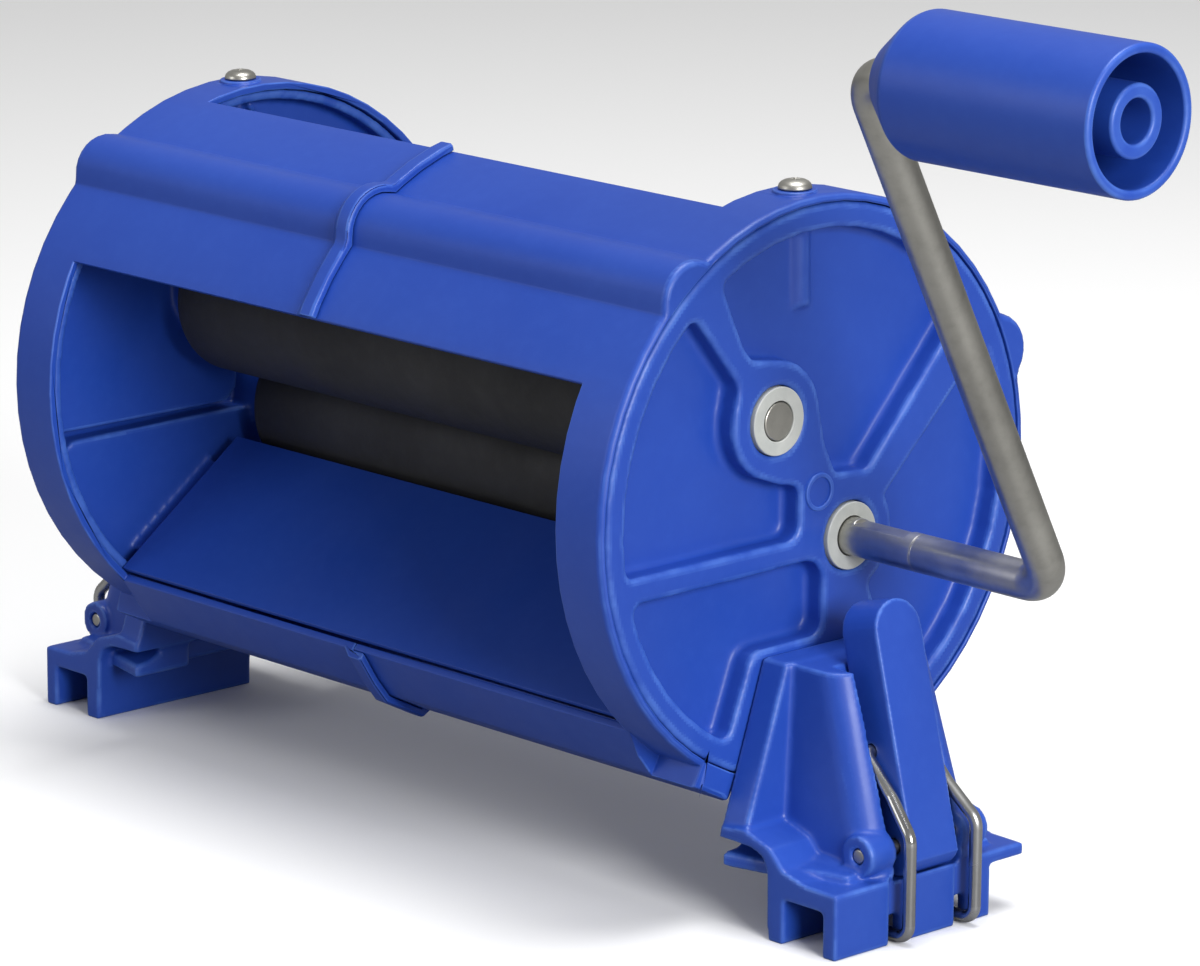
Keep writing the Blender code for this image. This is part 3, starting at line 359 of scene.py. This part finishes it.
# ---------------------------------------------------------------- clamp housings
# Each clamp is a thick moulding screwed to the end cap: a flange, a tower with a channel for the lever, a shelf
# and two legs that stand on either side of a tub's rim. Hollow curves join them and every edge is soft.
HOUSING_GRID = 0.0008
HOUSING_SOFTNESS = 7


for side in ("right", "left"):
    housing = make_piece(f"housing_{side}", solid_copy(f"clamp_housing_{side}"), BLUE, "casing",
                         [f"clamp_housing_{side}"])
    softened(housing, HOUSING_GRID, HOUSING_SOFTNESS)


# ---------------------------------------------------------------- clamp levers
# A blue moulded lever leans in its channel and pulls the clamp wire tight; all its corners are well rounded.
LEVER_GRID = 0.0005
LEVER_SOFTNESS = 8
for side in ("right", "left"):
    lever = make_piece(f"lever_{side}", solid_copy(f"clamp_lever_{side}"), BLUE, f"lever_{side}",
                       [f"clamp_lever_{side}"])
    softened(lever, LEVER_GRID, LEVER_SOFTNESS)


# ---------------------------------------------------------------- rubber rollers
# Two ground rubber sleeves on plastic cores; the rubber is matt and near black, with fine grinding rings and
# a little grey dust, and its ends are rounded.
def spun(profile, centre, steps=96):
    """Turns a closed outline of (x, radius) once round a line along X."""
    bm = bmesh.new()
    points = [bm.verts.new((x, centre.y, centre.z + radius)) for x, radius in profile]
    for first, second in zip(points, points[1:] + points[:1]):
        bm.edges.new((first, second))
    bmesh.ops.spin(bm, geom=bm.verts[:] + bm.edges[:], cent=centre, axis=(1, 0, 0), angle=2 * math.pi,
                   steps=steps, use_merge=True)
    bmesh.ops.remove_doubles(bm, verts=bm.verts, dist=1e-6)
    bmesh.ops.dissolve_degenerate(bm, edges=bm.edges, dist=1e-7)
    bmesh.ops.delete(bm, geom=[e for e in bm.edges if not e.link_faces], context="EDGES")
    bmesh.ops.recalc_face_normals(bm, faces=bm.faces)
    return bm


def node_axis(node):
    low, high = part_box(node)
    return Vector(((low.x + high.x) / 2, (low.y + high.y) / 2, (low.z + high.z) / 2))


def add_rings(material, pitch, depth):
    """Adds turning or grinding rings round X to a material's bump."""
    tree = material.node_tree
    shader = tree.nodes["Principled BSDF"]
    wave = tree.nodes.new("ShaderNodeTexWave")
    wave.wave_type = "BANDS"
    wave.bands_direction = "X"
    wave.inputs["Scale"].default_value = pitch
    wave.inputs["Distortion"].default_value = 1.5
    wave.inputs["Detail"].default_value = 2
    tree.links.new(object_place(tree), wave.inputs["Vector"])
    rings = tree.nodes.new("ShaderNodeBump")
    rings.inputs["Distance"].default_value = 0.0001
    rings.inputs["Strength"].default_value = depth
    tree.links.new(wave.outputs["Fac"], rings.inputs["Height"])
    tree.links.new(shader.inputs["Normal"].links[0].from_socket, rings.inputs["Normal"])
    tree.links.new(rings.outputs["Normal"], shader.inputs["Normal"])


RUBBER = moulded("roller_rubber", (0.016, 0.016, 0.017), (0.034, 0.034, 0.034), (0.07, 0.07, 0.07),
                 0.62, 0.25, 0.6, 0.5, 900.0, 0.10)
add_rings(RUBBER, 900.0, 0.25)
ROLLER_ROUND = 0.005
COVER_BORE = 0.0173
for name, body in (("drive", "crank_drive"), ("idler", "idler_roller")):
    low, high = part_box(f"{name}_roller_cover")
    radius = (high.z - low.z) / 2
    outline = [(low.x, COVER_BORE)]
    for k in range(9):
        turn = math.radians(11.25 * k)
        outline.append((low.x + ROLLER_ROUND * (1 - math.cos(turn)),
                        radius - ROLLER_ROUND * (1 - math.sin(turn))))
    outline += [(low.x + high.x - x, r) for x, r in outline[::-1]]
    make_piece(f"{name}_rubber", spun(outline, node_axis(f"{name}_roller_cover")), RUBBER, body,
               [f"{name}_roller_cover"])


# ---------------------------------------------------------------- gate marks
# A small raised ring in the middle of each cap's face, where the plastic ran into the mould.
MARK_RADIUS = 0.0060
MARK_WIDTH = 0.0014
MARK_PROUD = 0.0006
MARK_ROOT = 0.0010
MARK_EDGE = 0.0004
for side, way in (("right", 1), ("left", -1)):
    face = DRUM.x + way * HALF
    outline = [(face - way * MARK_ROOT, MARK_RADIUS), (face + way * MARK_PROUD, MARK_RADIUS),
               (face + way * MARK_PROUD, MARK_RADIUS - MARK_WIDTH), (face - way * MARK_ROOT, MARK_RADIUS - MARK_WIDTH)]
    mark = make_piece(f"gate_mark_{side}", spun(outline, DRUM, 48), BLUE, "casing",
                      [f"end_cap_{side}"])
    round_edges(mark, MARK_EDGE)


# ---------------------------------------------------------------- roller cores
# A dark moulded tube fills each rubber sleeve and stands a little proud of it at both ends.
CORE = moulded("core_moulding", (0.030, 0.030, 0.034), (0.055, 0.055, 0.060), (0.12, 0.12, 0.12),
               0.48, 0.12, 0.4, 0.5)
CORE_BORE = 0.0063
CORE_EDGE = 0.0006
for name, body in (("drive", "crank_drive"), ("idler", "idler_roller")):
    low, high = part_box(f"{name}_roller_core")
    radius = (high.z - low.z) / 2
    outline = [(low.x, CORE_BORE), (low.x, radius), (high.x, radius), (high.x, CORE_BORE)]
    core = make_piece(f"{name}_core", spun(outline, node_axis(f"{name}_roller_core")), CORE, body,
                      [f"{name}_roller_core"])
    round_edges(core, CORE_EDGE)


# ---------------------------------------------------------------- bushes
# Flanged nylon bushes carry the shafts; the nylon is pale grey, slightly see-through and waxy.
NYLON = moulded("pale_nylon", (0.36, 0.38, 0.37), (0.50, 0.51, 0.48), (0.62, 0.62, 0.60), 0.42, 0.10, 0.5, 0.4)
NYLON.node_tree.nodes["Principled BSDF"].inputs["Subsurface Weight"].default_value = 0.12
NYLON.node_tree.nodes["Principled BSDF"].inputs["Subsurface Radius"].default_value = (0.002, 0.002, 0.002)
BUSH_RADIUS = 0.0107
BUSH_FLANGE = 0.003
BUSH_BORE = 0.0063
BUSH_EDGE = 0.0004
for name in ("drive", "idler"):
    for side, way in (("right", 1), ("left", -1)):
        low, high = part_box(f"{name}_bush_{side}")
        flange_radius = (high.z - low.z) / 2
        outer, inner = (high.x, low.x) if way > 0 else (low.x, high.x)
        outline = [(outer, BUSH_BORE), (outer, BUSH_RADIUS), (inner + way * BUSH_FLANGE, BUSH_RADIUS),
                   (inner + way * BUSH_FLANGE, flange_radius), (inner, flange_radius), (inner, BUSH_BORE)]
        bush = make_piece(f"{name}_bearing_{side}", spun(outline, node_axis(f"{name}_bush_{side}")), NYLON,
                          "casing", [f"{name}_bush_{side}"])
        round_edges(bush, BUSH_EDGE)


# ---------------------------------------------------------------- shafts
# Zinc-plated bar, 12 mm thick: the idler roller's shaft runs right through, and a stub carries the far end of the
# driven roller. Their ends are chamfered and flush with the bushes.
def plated(name, colour, dull, roughness, scale, depth):
    """A plated or drawn steel: mottled metal with duller patches."""
    # the edge colour, brighter than the metal, is a painted highlight on outside corners
    material = moulded(name, colour, dull, tuple(min(1.0, c * 1.25) for c in colour), roughness, depth, 0.7, 0.5,
                       scale, 0.10)
    material.node_tree.nodes["Principled BSDF"].inputs["Metallic"].default_value = 1.0
    return material


ZINC = plated("zinc_plate", (0.50, 0.49, 0.45), (0.34, 0.33, 0.30), 0.38, 700.0, 0.16)
SHAFT_CHAMFER = 0.0006
for node, body in (("drive_shaft", "crank_drive"), ("idler_shaft", "idler_roller")):
    low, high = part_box(node)
    radius = (high.z - low.z) / 2
    outline = [(low.x, 0), (low.x, radius), (high.x, radius), (high.x, 0)]
    shaft = make_piece(f"{node}_bar", spun(outline, node_axis(node)), ZINC, body, [node])
    round_edges(shaft, SHAFT_CHAMFER, 2)


# ---------------------------------------------------------------- crank
# One bar of the same steel, bent twice: it is pinned in the driven roller, runs out through the cap, and carries
# the grip. A flat is milled on it beside the cap, and a light score marks how far it goes in.
BAR_RADIUS = 0.006
BAR_BEND = 0.011
ARM_REACH = 0.0845              # from the cap's face to the arm
FLAT_DEPTH = 0.0012
FLAT_RANGE = (0.004, 0.026)     # along the bar, from the cap's face
SCORE_PLACE = 0.0300
SCORE_DEPTH = 0.0003
TIP_RADIUS = 0.004
TIP_LENGTH = 0.0075


def drawn_bar(corners, bends, radius, sides, steps, marks=()):
    """Draws a round bar along straight runs and bends; marks are extra rings along its first run."""
    bm = bmesh.new()
    corners = [Vector(point) for point in corners]
    ahead = (corners[1] - corners[0]).normalized()
    turn = Matrix.Translation(corners[0]) @ ahead.to_track_quat("Z", "Y").to_matrix().to_4x4()
    bmesh.ops.create_circle(bm, segments=sides, radius=radius, matrix=turn)
    ring = bm.edges[:]
    here = corners[0]

    def run_to(place, ring, here):
        made = bmesh.ops.extrude_edge_only(bm, edges=ring)["geom"]
        bmesh.ops.translate(bm, vec=place - here, verts=[g for g in made if isinstance(g, bmesh.types.BMVert)])
        fresh = {g for g in made if isinstance(g, bmesh.types.BMVert)}
        return [g for g in made if isinstance(g, bmesh.types.BMEdge) and all(v in fresh for v in g.verts)], place

    for mark in marks:
        ring, here = run_to(corners[0] + ahead * mark, ring, here)
    for i, bend in enumerate(bends, start=1):
        back = (corners[i - 1] - corners[i]).normalized()
        ahead = (corners[i + 1] - corners[i]).normalized()
        half = back.angle(ahead) / 2
        reach = bend / math.tan(half)
        ring, here = run_to(corners[i] + back * reach, ring, here)
        centre = corners[i] + (back + ahead).normalized() * bend / math.sin(half)
        axis = (-back).cross(ahead).normalized()
        last = bmesh.ops.spin(bm, geom=ring + list({v for e in ring for v in e.verts}), cent=centre, axis=axis,
                              angle=math.pi - 2 * half, steps=steps)["geom_last"]
        ring = [g for g in last if isinstance(g, bmesh.types.BMEdge)]
        here = corners[i] + ahead * reach
    ring, here = run_to(corners[-1], ring, here)
    bmesh.ops.holes_fill(bm, edges=[e for e in bm.edges if e.is_boundary])
    bmesh.ops.recalc_face_normals(bm, faces=bm.faces)
    return bm


crank_low, crank_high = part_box("crank_rod")
drive = node_axis("drive_roller_core")
grip_low, grip_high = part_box("grip")
grip_axis = node_axis("grip")
arm_x = cap_high.x + ARM_REACH
tip_start = crank_high.x - TIP_LENGTH
corners = [(crank_low.x, drive.y, drive.z), (arm_x, drive.y, drive.z), (arm_x, grip_axis.y, grip_axis.z),
           (tip_start, grip_axis.y, grip_axis.z)]
first_run = cap_high.x - crank_low.x
marks = (first_run + FLAT_RANGE[0], first_run + FLAT_RANGE[0] + 0.0006, first_run + FLAT_RANGE[1] - 0.0006,
         first_run + FLAT_RANGE[1], first_run + SCORE_PLACE, first_run + SCORE_PLACE + 0.0003,
         first_run + SCORE_PLACE + 0.0006)
bar = drawn_bar(corners, (BAR_BEND, BAR_BEND), BAR_RADIUS, 48, 24, marks)
flat_low = cap_high.x + FLAT_RANGE[0] + 0.0003
flat_high = cap_high.x + FLAT_RANGE[1] - 0.0003
score = cap_high.x + SCORE_PLACE + 0.0003
for vert in bar.verts:
    if flat_low < vert.co.x < flat_high and vert.co.z < drive.z + 0.01:
        vert.co.z = min(vert.co.z, drive.z + BAR_RADIUS - FLAT_DEPTH)
    if abs(vert.co.x - score) < 0.0001 and vert.co.z < drive.z + 0.01:
        vert.co.yz = (drive.y + (vert.co.y - drive.y) * (1 - SCORE_DEPTH / BAR_RADIUS),
                      drive.z + (vert.co.z - drive.z) * (1 - SCORE_DEPTH / BAR_RADIUS))
crank = make_piece("crank_bar", bar, ZINC, "crank_drive", ["crank_rod"])
round_edges(crank, 0.0003, 2, 34)
outline = [(tip_start - 0.002, 0), (tip_start - 0.002, TIP_RADIUS), (crank_high.x, TIP_RADIUS),
           (crank_high.x, 0)]
tip = make_piece("crank_tip", spun(outline, grip_axis, 48), ZINC, "crank_drive", ["crank_rod"])
round_edges(tip, 0.0004, 2)


# ---------------------------------------------------------------- cross pin, lever pins and clamp screws
# Plain steel pins: one holds the crank in the driven roller's core and one is each lever's pivot. Two round-headed
# screws hold each clamp housing from inside the drum.
WIRE = plated("bright_wire", (0.50, 0.50, 0.50), (0.38, 0.38, 0.37), 0.24, 500.0, 0.08)


CROSS_PIN_RADIUS = 0.002
LEVER_PIN_RADIUS = 0.0023
SCREW_SHANK = 0.002
SCREW_HEAD = 0.004
SCREW_HEAD_HEIGHT = 0.0025


def pin_along(axis, node, radius):
    """A pin along Y or Z that fills a node's box."""
    low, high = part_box(node)
    middle = (low + high) / 2
    direction = Vector((0, 1, 0)) if axis == "Y" else Vector((0, 0, 1))
    length = high.y - low.y if axis == "Y" else high.z - low.z
    bm = bmesh.new()
    turn = Matrix.Translation(middle) @ direction.to_track_quat("Z", "Y").to_matrix().to_4x4()
    bmesh.ops.create_cone(bm, cap_ends=True, segments=32, radius1=radius, radius2=radius, depth=length, matrix=turn)
    rims = [e for e in bm.edges if e.calc_face_angle(0) > math.radians(60)]
    bmesh.ops.bevel(bm, geom=rims, offset=radius * 0.25, segments=3, profile=0.5, affect="EDGES", material=-1)
    return bm


make_piece("cross_pin_steel", pin_along("Z", "cross_pin", CROSS_PIN_RADIUS), WIRE, "crank_drive",
           ["cross_pin"])
for side, way in (("right", 1), ("left", -1)):
    make_piece(f"lever_{side}_pivot", pin_along("Y", f"lever_pin_{side}", LEVER_PIN_RADIUS), ZINC, "casing",
               [f"lever_pin_{side}"])
    for row in ("front", "back"):
        node = f"clamp_screw_{side}_{row}"
        low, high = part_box(node)
        head, point = (low.x, high.x) if way > 0 else (high.x, low.x)
        outline = [(head, 0), (head, 0.0026), (head + way * 0.0008, 0.0037),
                   (head + way * SCREW_HEAD_HEIGHT, SCREW_HEAD), (head + way * SCREW_HEAD_HEIGHT, SCREW_SHANK),
                   (point, SCREW_SHANK), (point, 0)]
        make_piece(f"{node}_steel", spun(outline, node_axis(node), 48), ZINC, "casing", [node])


# ---------------------------------------------------------------- casing screws
# A pan-headed screw with a cross recess holds each sleeve on top of its end cap.
def carved(bm, cutter):
    """Cuts one mesh out of another."""
    pair = []
    for shape in (bm, cutter):
        mesh = bpy.data.meshes.new("carving")
        shape.to_mesh(mesh)
        shape.free()
        pair.append(bpy.data.objects.new("carving", mesh))
        scene.collection.objects.link(pair[-1])
    cut = pair[0].modifiers.new("cut", "BOOLEAN")
    cut.operation = "DIFFERENCE"
    cut.solver = "EXACT"
    cut.use_self = True
    cut.object = pair[1]
    bpy.context.view_layer.update()
    shape = bpy.data.meshes.new_from_object(pair[0].evaluated_get(bpy.context.evaluated_depsgraph_get()))
    result = bmesh.new()
    result.from_mesh(shape)
    for item in pair:
        bpy.data.objects.remove(item)
    return result


PAN_RADIUS = 0.0053
PAN_HEIGHT = 0.003
SCREW_ANGLE = math.radians(91.5)
for side, way in (("right", 1), ("left", -1)):
    node = f"casing_screw_{side}"
    low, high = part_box(node)
    middle_x = (low.x + high.x) / 2
    up = Vector((0, math.cos(SCREW_ANGLE), math.sin(SCREW_ANGLE)))
    seat = high.z - PAN_HEIGHT - DRUM.z - 0.00005
    profile = [(seat - 0.0085, 0), (seat - 0.0085, 0.0018), (seat, 0.0018), (seat, PAN_RADIUS)]
    for k in range(6):
        turn = math.radians(4 + 17.2 * k)
        profile.append((seat + 0.0004 + (PAN_HEIGHT - 0.0006) * math.sin(turn),
                        (PAN_RADIUS - 0.0001) * math.cos(turn) ** 0.75))
    profile.append((seat + PAN_HEIGHT - 0.0002, 0))
    head = spun(profile, Vector((0, 0, 0)), 48)
    cross = bmesh.new()
    for turn in (35, 125):
        arm = bmesh.ops.create_cube(cross, size=1, matrix=Matrix.Translation((seat + PAN_HEIGHT, 0, 0))
                                    @ Matrix.Rotation(math.radians(turn), 4, "X")
                                    @ Matrix.Diagonal((0.0034, 0.0055, 0.0011, 1)))["verts"]
        for vert in arm:
            if vert.co.x < seat + PAN_HEIGHT:
                vert.co.y *= 0.35
                vert.co.z *= 0.35
    head = carved(head, cross)
    turn = Matrix.Translation((middle_x, DRUM.y, DRUM.z)) @ up.to_track_quat("X", "Y").to_matrix().to_4x4()
    bmesh.ops.transform(head, matrix=turn, verts=head.verts)
    screw = make_piece(f"{node}_pan", head, ZINC, "casing", [node])
    round_edges(screw, 0.00012, 2, 40)


# ---------------------------------------------------------------- clamp wires
# One length of bright 4 mm wire for each clamp: a cross bar through the lever, two arms, two legs down grooves in
# the outer leg, and two hooks that reach under it into the rim slot.
WIRE_RADIUS = 0.002
WIRE_BENDS = (0.0042, 0.006, 0.008, 0.0026, 0.0026, 0.008, 0.006, 0.0042)
LEAN = math.radians(14.46)
LEVER_PIN = (0.0435, -0.1015)   # out from the cap's face and up from the drum's middle
PIVOT_ALONG = 0.0296            # from that pin to the wire's pivot, along the lever and across it
PIVOT_ASIDE = 0.0030
ARM_SPREAD = 0.01225
LEG_SPREAD = 0.0145
ELBOW = 0.0113
LEG_REACH = 0.0550
HOOK_REACH = 0.0420
HOOK_DROP = 0.1270
for side, way in (("right", 1), ("left", -1)):
    low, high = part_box(f"clamp_bail_{side}")
    pivot_x = LEVER_PIN[0] - PIVOT_ALONG * math.sin(LEAN) - PIVOT_ASIDE * math.cos(LEAN)
    pivot_z = LEVER_PIN[1] + PIVOT_ALONG * math.cos(LEAN) - PIVOT_ASIDE * math.sin(LEAN)
    half = [(pivot_x, ARM_SPREAD, pivot_z), (pivot_x + ELBOW, ARM_SPREAD, pivot_z - ELBOW),
            (LEG_REACH, LEG_SPREAD, pivot_z - (LEG_REACH - pivot_x)), (LEG_REACH, LEG_SPREAD, -HOOK_DROP),
            (HOOK_REACH, LEG_SPREAD, -HOOK_DROP)]
    route = half[::-1] + [(x, -y, z) for x, y, z in half]
    route = [DRUM + Vector((way * (HALF + x), y, z)) for x, y, z in route]
    bail = make_piece(f"wire_{side}", drawn_bar(route, WIRE_BENDS, WIRE_RADIUS, 24, 10), WIRE, f"bail_{side}",
                      [f"clamp_bail_{side}"])
    round_edges(bail, 0.0004, 2, 60)


# ---------------------------------------------------------------- grip
# A hollow blue moulding turns freely on the crank: a tapered neck, a plain barrel, and an open end with a hub held
# by four ribs deep inside.
GRIP_WALL = 0.0029
GRIP_RECESS = 0.056
GRIP_NECK = 0.0118
GRIP_CONE = 0.0135
HUB_RADIUS = 0.0105
HUB_BORE = 0.0063
RIB_THICKNESS = 0.0022
RIB_INSET = 0.030
start_x, end_x = grip_low.x, grip_high.x
barrel = (grip_high.z - grip_low.z) / 2
inside = barrel - GRIP_WALL
recess = end_x - GRIP_RECESS
stop = tip_start + 0.0006
outline = [(start_x, GRIP_NECK - 0.001), (start_x + 0.001, GRIP_NECK), (start_x + GRIP_CONE, barrel),
           (end_x, barrel), (end_x, inside), (recess, inside - 0.001), (recess, HUB_RADIUS), (end_x - 0.001, HUB_RADIUS),
           (end_x - 0.001, HUB_BORE), (stop + 0.0025, HUB_BORE), (stop + 0.0025, TIP_RADIUS + 0.0003),
           (stop, TIP_RADIUS + 0.0003), (stop, HUB_BORE), (start_x, HUB_BORE)]
handle = spun(outline, grip_axis)
for k in range(4):
    turn = math.radians(45 + 90 * k)
    middle = (HUB_RADIUS + inside) / 2
    bmesh.ops.create_cube(
        handle, size=1, matrix=Matrix.Translation(((recess + end_x - RIB_INSET) / 2, grip_axis.y, grip_axis.z))
        @ Matrix.Rotation(turn, 4, "X") @ Matrix.Translation((0, middle, 0))
        @ Matrix.Diagonal((GRIP_RECESS - RIB_INSET + 0.001, inside - HUB_RADIUS + 0.002, RIB_THICKNESS, 1)))
grip = make_piece("hand_grip", handle, BLUE, "crank_grip", ["grip"])
round_edges(grip, 0.0011, 4, 25)


# ---------------------------------------------------------------- push nut
# A sprung steel ring pressed on the crank's tip keeps the grip on.
low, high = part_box("grip_push_nut")
nut_radius = (high.z - low.z) / 2
outline = [(low.x, TIP_RADIUS + 0.0001), (low.x, nut_radius), (high.x, nut_radius), (high.x, TIP_RADIUS + 0.0001)]
nut = make_piece("push_nut", spun(outline, grip_axis, 48), WIRE, "crank_drive", ["grip_push_nut"])
round_edges(nut, 0.0003, 2)


# ---------------------------------------------------------------- painted corner highlights
# The outside corners of every piece get a painted highlight: each finished mesh marks its small faces that turn
# outwards.
FULL_CORNER = math.radians(45)
CORNER_FACE = 4e-6
bpy.context.view_layer.update()
depsgraph = bpy.context.evaluated_depsgraph_get()
finished = [(piece, bpy.data.meshes.new_from_object(piece.evaluated_get(depsgraph))) for piece in PIECES]
for piece, mesh in finished:
    piece.modifiers.clear()
    piece.data = mesh
    bm = bmesh.new()
    bm.from_mesh(mesh)
    turns = [sum(edge.calc_face_angle_signed(0.0) for edge in face.edges) / FULL_CORNER
             if face.calc_area() < CORNER_FACE else 0.0 for face in bm.faces]
    bm.free()
    corner = mesh.attributes.new("corner", "FLOAT", "FACE")
    corner.data.foreach_set("value", [max(0.0, min(1.0, turn)) for turn in turns])
